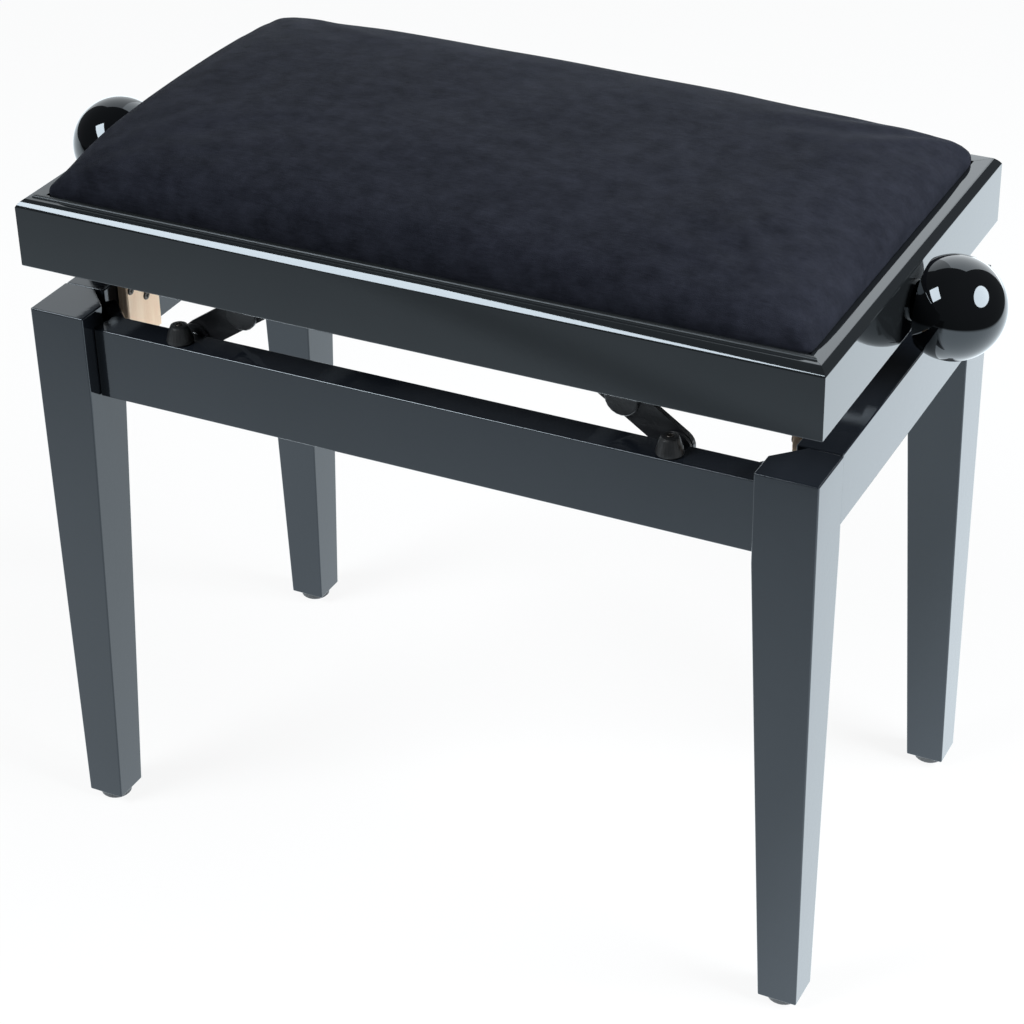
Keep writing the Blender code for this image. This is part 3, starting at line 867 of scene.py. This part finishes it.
# cushion: the CAD form as a fine even mesh, its cover blown up by a short cloth run with the rim held
cushionSet = {
    "weld": 0.00005,
    "voxel": 0.0040,
    "shrink": 0.0010,
    "rim": 0.4800,
    "pressure": 4.0,
    "frames": 20,
    "cap": 0.0025,
    "floor": 0.4752,
    "half": (0.26330, 0.14660),
    "corner": 0.006,
    "base": 0.479,
    "crown": (1.161, -0.663, -1.010, 2.685),      # share of the rise along X: fuller at the left
    "dabs": ((-0.235, 0.03, 0.040, 0.075, 0.15), (-0.25, -0.13, 0.050, 0.050, -0.16),
             (-0.263, -0.146, 0.028, 0.028, -0.45), (0.263, -0.146, 0.028, 0.028, -0.25)),
    "swellShare": 0.16,
    "endShare": 0.22,
    "endFrom": 0.10,
    "endOver": 0.10,
    "fill": 0.7,
}
coverSet = {"quality": 6, "mass": 0.3, "tension_stiffness": 25, "compression_stiffness": 25, "shear_stiffness": 12,
            "bending_stiffness": 3.0}
ruffleSet = {
    "dimple": 0.00030,
    "pull": 0.00045,
    "top": (0.482, 0.02),           # height where it starts, and over how much it comes in
    "pullFrom": (0.10, 0.14),       # the same along X
    "pullMiddle": (0.205, 0.05),    # middle and half width along X
}


def readPoints(piece):
    values = np.zeros(len(piece.data.vertices) * 3, np.float32)
    piece.data.vertices.foreach_get("co", values)
    return values.reshape(-1, 3).astype(float)


def writePoints(piece, points):
    piece.data.vertices.foreach_set("co", points.astype(np.float32).ravel())
    piece.data.update()


def comesIn(value, start, over):
    return np.clip((value - start) / over, 0, 1)


def settle(pad):
    smooth = pad.modifiers.new("settle", "SMOOTH")
    smooth.factor = 0.5
    smooth.iterations = 2
    applyAll(pad)


def startCushion():
    s = cushionSet
    pad = copyOf(nodes["cushion"], "velvetCushion")
    bpy.ops.object.parent_clear(type="CLEAR_KEEP_TRANSFORM")
    applyPlace()
    for key in list(pad.keys()):
        del pad[key]
    pickAll(pad)
    bpy.ops.mesh.remove_doubles(threshold=s["weld"])
    leaveEdit()
    remesh = pad.modifiers.new("voxels", "REMESH")
    remesh.mode = "VOXEL"
    remesh.voxel_size = s["voxel"]
    hug = pad.modifiers.new("hug", "SHRINKWRAP")
    hug.target = nodes["cushion"]
    hug.wrap_method = "NEAREST_SURFACEPOINT"
    hug.wrap_mode = "ON_SURFACE"
    settle(pad)
    return pad


def blowUp(pad):
    s = cushionSet
    rest = readPoints(pad)
    small = rest.copy()
    small[:, :2] -= np.sign(rest[:, :2]) * s["shrink"] * (np.abs(rest[:, :2]) > 0.02)
    above = rest[:, 2] > s["rim"]
    small[above, 2] -= s["shrink"]
    writePoints(pad, small)
    held = pad.vertex_groups.new(name="rim")
    held.add([int(i) for i in np.nonzero(~above)[0]], 1.0, "REPLACE")
    cloth = pad.modifiers.new("stuffing", "CLOTH")
    settings = cloth.settings
    for title, value in coverSet.items():
        setattr(settings, title, value)
    settings.vertex_group_mass = "rim"
    settings.use_pressure = True
    settings.uniform_pressure_force = s["pressure"]
    settings.effector_weights.gravity = 0.0
    cloth.collision_settings.use_collision = False
    cloth.point_cache.frame_start = 1
    cloth.point_cache.frame_end = s["frames"]
    for number in range(1, s["frames"] + 1):
        bpy.context.scene.frame_set(number)
    applyAll(pad)
    bpy.context.scene.frame_set(1)
    byEnd = s["swellShare"] + s["endShare"] * comesIn(rest[:, 0], s["endFrom"], s["endOver"])
    moved = (readPoints(pad) - rest) * byEnd[:, None]
    length = np.linalg.norm(moved, axis=1)
    share = np.minimum(1.0, s["cap"] / np.maximum(length, 1e-9))
    print("cushion cover moved up to", round(float(length.max()) * 1000, 1), "mm")
    writePoints(pad, rest + moved * share[:, None])


def fitOutline(pad):
    # fill the frame's opening: outline to size, corners drawn out to their small radius, crown fuller at the left
    s = cushionSet
    points = readPoints(pad)
    reach = np.abs(points).max(axis=0)
    for axis in (0, 1):
        points[:, axis] *= s["half"][axis] / reach[axis]
    points[:, 2] = np.maximum(points[:, 2], s["floor"])
    flat = np.abs(points[:, :2])
    wide = (sum(s["half"]) - flat.sum(axis=1).max()) / (2 - math.sqrt(2))
    if wide > s["corner"]:
        inset = flat - (np.array(s["half"]) - wide)
        atCorner = (inset > 0).all(axis=1)
        way = np.arctan2(inset[atCorner, 1], inset[atCorner, 0])
        toSide = wide / np.maximum(np.cos(way), np.sin(way))
        centre = wide - s["corner"]
        along = centre * (np.cos(way) + np.sin(way))
        toArc = along + np.sqrt(np.maximum(along ** 2 - 2 * centre ** 2 + s["corner"] ** 2, 0))
        onArc = np.minimum(np.cos(way), np.sin(way)) * toSide > centre
        stretch = np.where(onArc, toArc, toSide) / wide
        moved = (np.array(s["half"]) - wide) + inset[atCorner] * stretch[:, None]
        points[atCorner, :2] = moved * np.sign(points[atCorner, :2])
    share = sum(value * points[:, 0] ** power for power, value in enumerate(s["crown"]))
    for x, y, wideX, wideY, more in s["dabs"]:
        share += more * np.exp(-((points[:, 0] - x) / wideX) ** 2 - ((points[:, 1] - y) / wideY) ** 2)
    rise = points[:, 2] - s["base"]
    points[:, 2] = s["base"] + np.where(rise > 0, rise * share, rise)
    print("cushion corners from", round(wide * 1000, 1), "mm radius, top at", round(float(points[:, 2].max()), 4))
    writePoints(pad, points)


def ruffle(pad):
    # slow swells over the whole top, and a few short pulls near the right end
    s = ruffleSet
    points = readPoints(pad)
    x, y = points[:, 0], points[:, 1]
    top = comesIn(points[:, 2], *s["top"])
    slow = np.sin(31 * x + 1.3 * np.sin(17 * y)) * np.sin(43 * y + 0.8) + 0.6 * np.sin(57 * x - 39 * y + 1.9)
    middle, halfWide = s["pullMiddle"]
    pulls = np.sin(150 * x - 95 * y + 2.2 * np.sin(23 * y)) * np.exp(-((x - middle) / halfWide) ** 2)
    points[:, 2] += top * (s["dimple"] * slow + s["pull"] * comesIn(x, *s["pullFrom"]) * pulls)
    writePoints(pad, points)


cushion = startCushion()
blowUp(cushion)
settle(cushion)
fitOutline(cushion)
ruffle(cushion)
finer = cushion.modifiers.new("finer", "SUBSURF")
finer.levels = 1
finer.render_levels = 1
applyAll(cushion)
activate(cushion)
bpy.ops.object.shade_smooth()
dress(cushion, velvet, "seat", ["cushion"])
print("cushion done,", len(cushion.data.polygons), "faces")


# small fasteners: modelled once, facing up on the origin, then copied to where each one sits
fastenerSet = {
    "woodScrew": (0.0033, 0.0010),      # radius and height, as in the rest
    "plateScrew": (0.0029, 0.0009),
    "bufferScrew": (0.0025, 0.0008),
    "grubScrew": (0.0019, 0.0004),
    "recess": (0.0009, 0.0007),         # width and depth on the wood screw
    "washer": (0.0085, 0.0012),
    "nut": (0.0058, 0.0050),
    "bolt": (0.0029, 0.0085),
    "washerEdge": 0.0003,
    "nutEdge": 0.0006,
    "boltEdge": 0.0007,
    "boltUp": 0.0005,
}
fixingSet = {
    "grubSunk": 0.0001,
    "blockPlaces": ((0.0998, 0.3943), (0.0825, 0.3830)),      # Y and Z on the block's inner face
    "plateShifts": (-0.0105, 0.0105),
    "plateUp": 0.0085,
    "flangeShifts": (-0.009, 0.009),
    "flangeY": 0.1375,
    "flangeThick": 0.003,
    "bufferSunk": 0.0002,
    "legBolt": (0.2339, 0.1171, 0.367),
}


def shapeScrew(name):
    # a low domed head with a cross recess
    radius, height = fastenerSet[name]
    wide, deep = fastenerSet["recess"]
    floorZ = height - deep * radius / fastenerSet["woodScrew"][0]
    screw = addRound(name, radius, height, (0, 0, height / 2), "Z", 24)
    bevelEdges(screw, lambda edge, m: liesAbove(edge, height - 1e-6), height * 0.7, 3)
    arm = radius * 0.62
    for low, high in (((-arm, -wide / 2), (arm, wide / 2)), ((-wide / 2, -arm), (wide / 2, arm))):
        cutAway(screw, addBlock("recessCutter", (*low, floorZ), (*high, height * 2)))
    softShade(screw)
    return screw


def shapeHanger(name):
    # washer, hexagon nut and the rounded end of the bolt that draws the leg to its brace
    s = fastenerSet
    rim, thin = s["washer"]
    flat, high = s["nut"]
    shank, tip = s["bolt"]
    washer = addRound("washer", rim, thin, (0, 0, thin / 2), "Z", 40)
    bevelEdges(washer, lambda edge, m: liesAbove(edge, thin - 1e-6), s["washerEdge"], 2)
    nut = addRound("nut", flat, high, (0, 0, thin + high / 2), "Z", 6)
    bevelEdges(nut, lambda edge, m: liesAbove(edge, thin + high - 1e-6), s["nutEdge"], 2)
    bolt = addRound("bolt", shank, tip, (0, 0, tip / 2 + s["boltUp"]), "Z", 28)
    bevelEdges(bolt, lambda edge, m: liesAbove(edge, tip), s["boltEdge"], 2)
    whole = joinAll(name, [washer, nut, bolt])
    softShade(whole, 30)
    return whole


def setDown(master, name, place, way):
    twin = copyOf(master, name)
    twin.rotation_euler = Vector(way).to_track_quat("Z", "Y").to_euler()
    twin.location = place
    applyPlace()
    return twin


def setPair(master, name, places, way):
    return joinAll(name, [setDown(master, f"{name}{number}", place, way) for number, place in enumerate(places)])


woodScrew, plateScrew, bufferScrew, grubScrew = (
    shapeScrew(name) for name in ("woodScrew", "plateScrew", "bufferScrew", "grubScrew"))
hanger = shapeHanger("hanger")
fix = fixingSet
for side, sx in sides:
    low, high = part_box(f"collar_{side}")
    place = ((low.x + high.x) / 2, (low.y + high.y) / 2, high.z - fix["grubSunk"])
    dress(setDown(grubScrew, f"collarScrew_{side}", place, (0, 0, 1)), darkScrew, "spindle")
    for end, sy in ends:
        where = f"{end}_{side}"
        low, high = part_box(f"block_{where}")
        places = [(low.x if sx > 0 else high.x, sy * y, z) for y, z in fix["blockPlaces"]]
        pair = setPair(woodScrew, f"blockScrews_{where}", places, (-sx, 0, 0))
        dress(pair, darkScrew, "base")
        low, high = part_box(f"pivot_plate_{where}")
        plateFace = sy * min(abs(low.y), abs(high.y))
        places = [((low.x + high.x) / 2 + shift, plateFace, low.z + fix["plateUp"]) for shift in fix["plateShifts"]]
        pair = setPair(plateScrew, f"plateScrews_{where}", places, (0, -sy, 0))
        dress(pair, blackSteel, "base")
        low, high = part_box(f"seat_plate_{where}")
        places = [((low.x + high.x) / 2 + shift, sy * fix["flangeY"], high.z - fix["flangeThick"])
                  for shift in fix["flangeShifts"]]
        pair = setPair(plateScrew, f"flangeScrews_{where}", places, (0, 0, -1))
        dress(pair, blackSteel, "seat")
        low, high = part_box(f"buffer_{where}")
        place = ((low.x + high.x) / 2, (low.y + high.y) / 2, high.z - fix["bufferSunk"])
        dress(setDown(bufferScrew, f"bufferScrew_{where}", place, (0, 0, 1)), darkScrew, "base")
        boltX, boltY, boltZ = fix["legBolt"]
        bolt = setDown(hanger, f"legBolt_{where}", (sx * boltX, sy * boltY, boltZ), (-sx, -sy, 0))
        dress(bolt, zincSteel, "base")
for master in (woodScrew, plateScrew, bufferScrew, grubScrew, hanger):
    bpy.data.objects.remove(master)
print("fasteners done")


# spindle: a plain rod with a right-hand thread at one end and a left-hand thread at the other
spindleSet = {
    "ends": (-0.307, 0.302),
    "height": 0.4485,
    "radius": 0.0060,
    "edge": 0.0008,
    "root": 0.0052,
    "thread": (0.0640, 0.1400),
    "runOut": 0.0004,
    "pitch": 0.0040,
    "ridge": (0.36, 0.45),      # half its foot as a share of the pitch, and its crest as a share of its foot
    "sunk": 0.0004,
    "steps": 24,
    "weld": 0.00001,
}


def shapeSpindle(name):
    # lathe the rod: both threaded stretches are pulled in to the root of the thread
    s = spindleSet
    low, high = s["ends"]
    rod = addRound(name, s["radius"], high - low, ((low + high) / 2, 0, s["height"]), "X", 40)
    atEnd = lambda vert: isNear(vert.co.x, low) or isNear(vert.co.x, high)
    bevelEdges(rod, lambda edge, m: all(atEnd(v) for v in edge.verts), s["edge"], 2)
    near, far = s["thread"]
    for place in (-far, -near, near, far):
        for shift in (-s["runOut"], s["runOut"]):
            cutAt(rod, (place + shift, 0, 0), (1, 0, 0))
    ratio = s["root"] / s["radius"]
    pick(rod, "VERT", lambda vert, m: near < abs(vert.co.x) < far)
    bpy.ops.transform.resize(value=(1, ratio, ratio), center_override=(0, 0, s["height"]))
    leaveEdit()
    return rod


def shapeThread(name):
    # one ridge in section, wound along the rod by the screw modifier and closed at both ends
    s = spindleSet
    near, far = s["thread"]
    half = s["pitch"] * s["ridge"][0]
    ridge = addBlock(name, (near, -0.0002, s["root"] - s["sunk"]), (near + 2 * half, 0.0002, s["radius"]))
    pick(ridge, "VERT", lambda vert, m: m.z > s["root"])
    bpy.ops.transform.resize(value=(s["ridge"][1], 1, 1), center_override=(near + half, 0, 0))
    pick(ridge, "FACE", lambda face, m: face.normal.y < 0.9)
    bpy.ops.mesh.delete(type="FACE")
    pickAll(ridge, "VERT")
    bpy.ops.transform.resize(value=(1, 0, 1), center_override=(0, 0, 0))
    pickAll(ridge)
    bpy.ops.mesh.delete(type="ONLY_FACE")
    leaveEdit()
    wind = ridge.modifiers.new("wind", "SCREW")
    wind.axis = "X"
    wind.angle = math.tau
    wind.screw_offset = s["pitch"]
    wind.iterations = int((far - near) / s["pitch"]) - 1
    wind.steps = s["steps"]
    wind.render_steps = s["steps"]
    wind.use_merge_vertices = True
    wind.merge_threshold = s["weld"]
    applyAll(ridge)
    pickAll(ridge, "VERT")
    bpy.ops.mesh.remove_doubles(threshold=s["weld"])
    bpy.ops.mesh.select_mode(type="EDGE")
    bpy.ops.mesh.select_all(action="DESELECT")
    bpy.ops.mesh.select_non_manifold()
    bpy.ops.mesh.edge_face_add()
    bpy.ops.mesh.fill_holes(sides=8)
    bpy.ops.mesh.select_all(action="SELECT")
    bpy.ops.mesh.normals_make_consistent(inside=False)
    bpy.ops.transform.translate(value=(0, 0, s["height"]))
    leaveEdit()
    return ridge


rod = shapeSpindle("spindleRod")
rightThread = shapeThread("threadRight")
leftThread = mirrorCopy(rightThread, "threadLeft", (-1, 1, 1))
rod = joinAll("spindleRod", [rod, rightThread, leftThread])
softShade(rod)
dress(rod, zincSteel, "spindle", ["spindle"])
print("spindle done")


# the rest of the CAD nodes keep their shape and take their finish
finishOf = {
    "arm": blackSteel, "link": blackSteel, "pivot_plate": blackSteel, "seat_plate": blackSteel, "screw_bar": blackSteel,
    "pivot_pin": zincSteel, "collar": zincSteel, "spindle_bush": nylonPaint, "glide": nylonPaint,
    "buffer": rubberPaint, "block": rawWood, "brace": baseLacquer, "seat_board": plywood,
}
for name, node in nodes.items():
    if node.hide_render:
        continue
    key = max((k for k in finishOf if name == k or name.startswith(k + "_")), key=len)
    node.data.materials.clear()
    node.data.materials.append(finishOf[key])
print("nodes dressed")

bpy.context.view_layer.update()
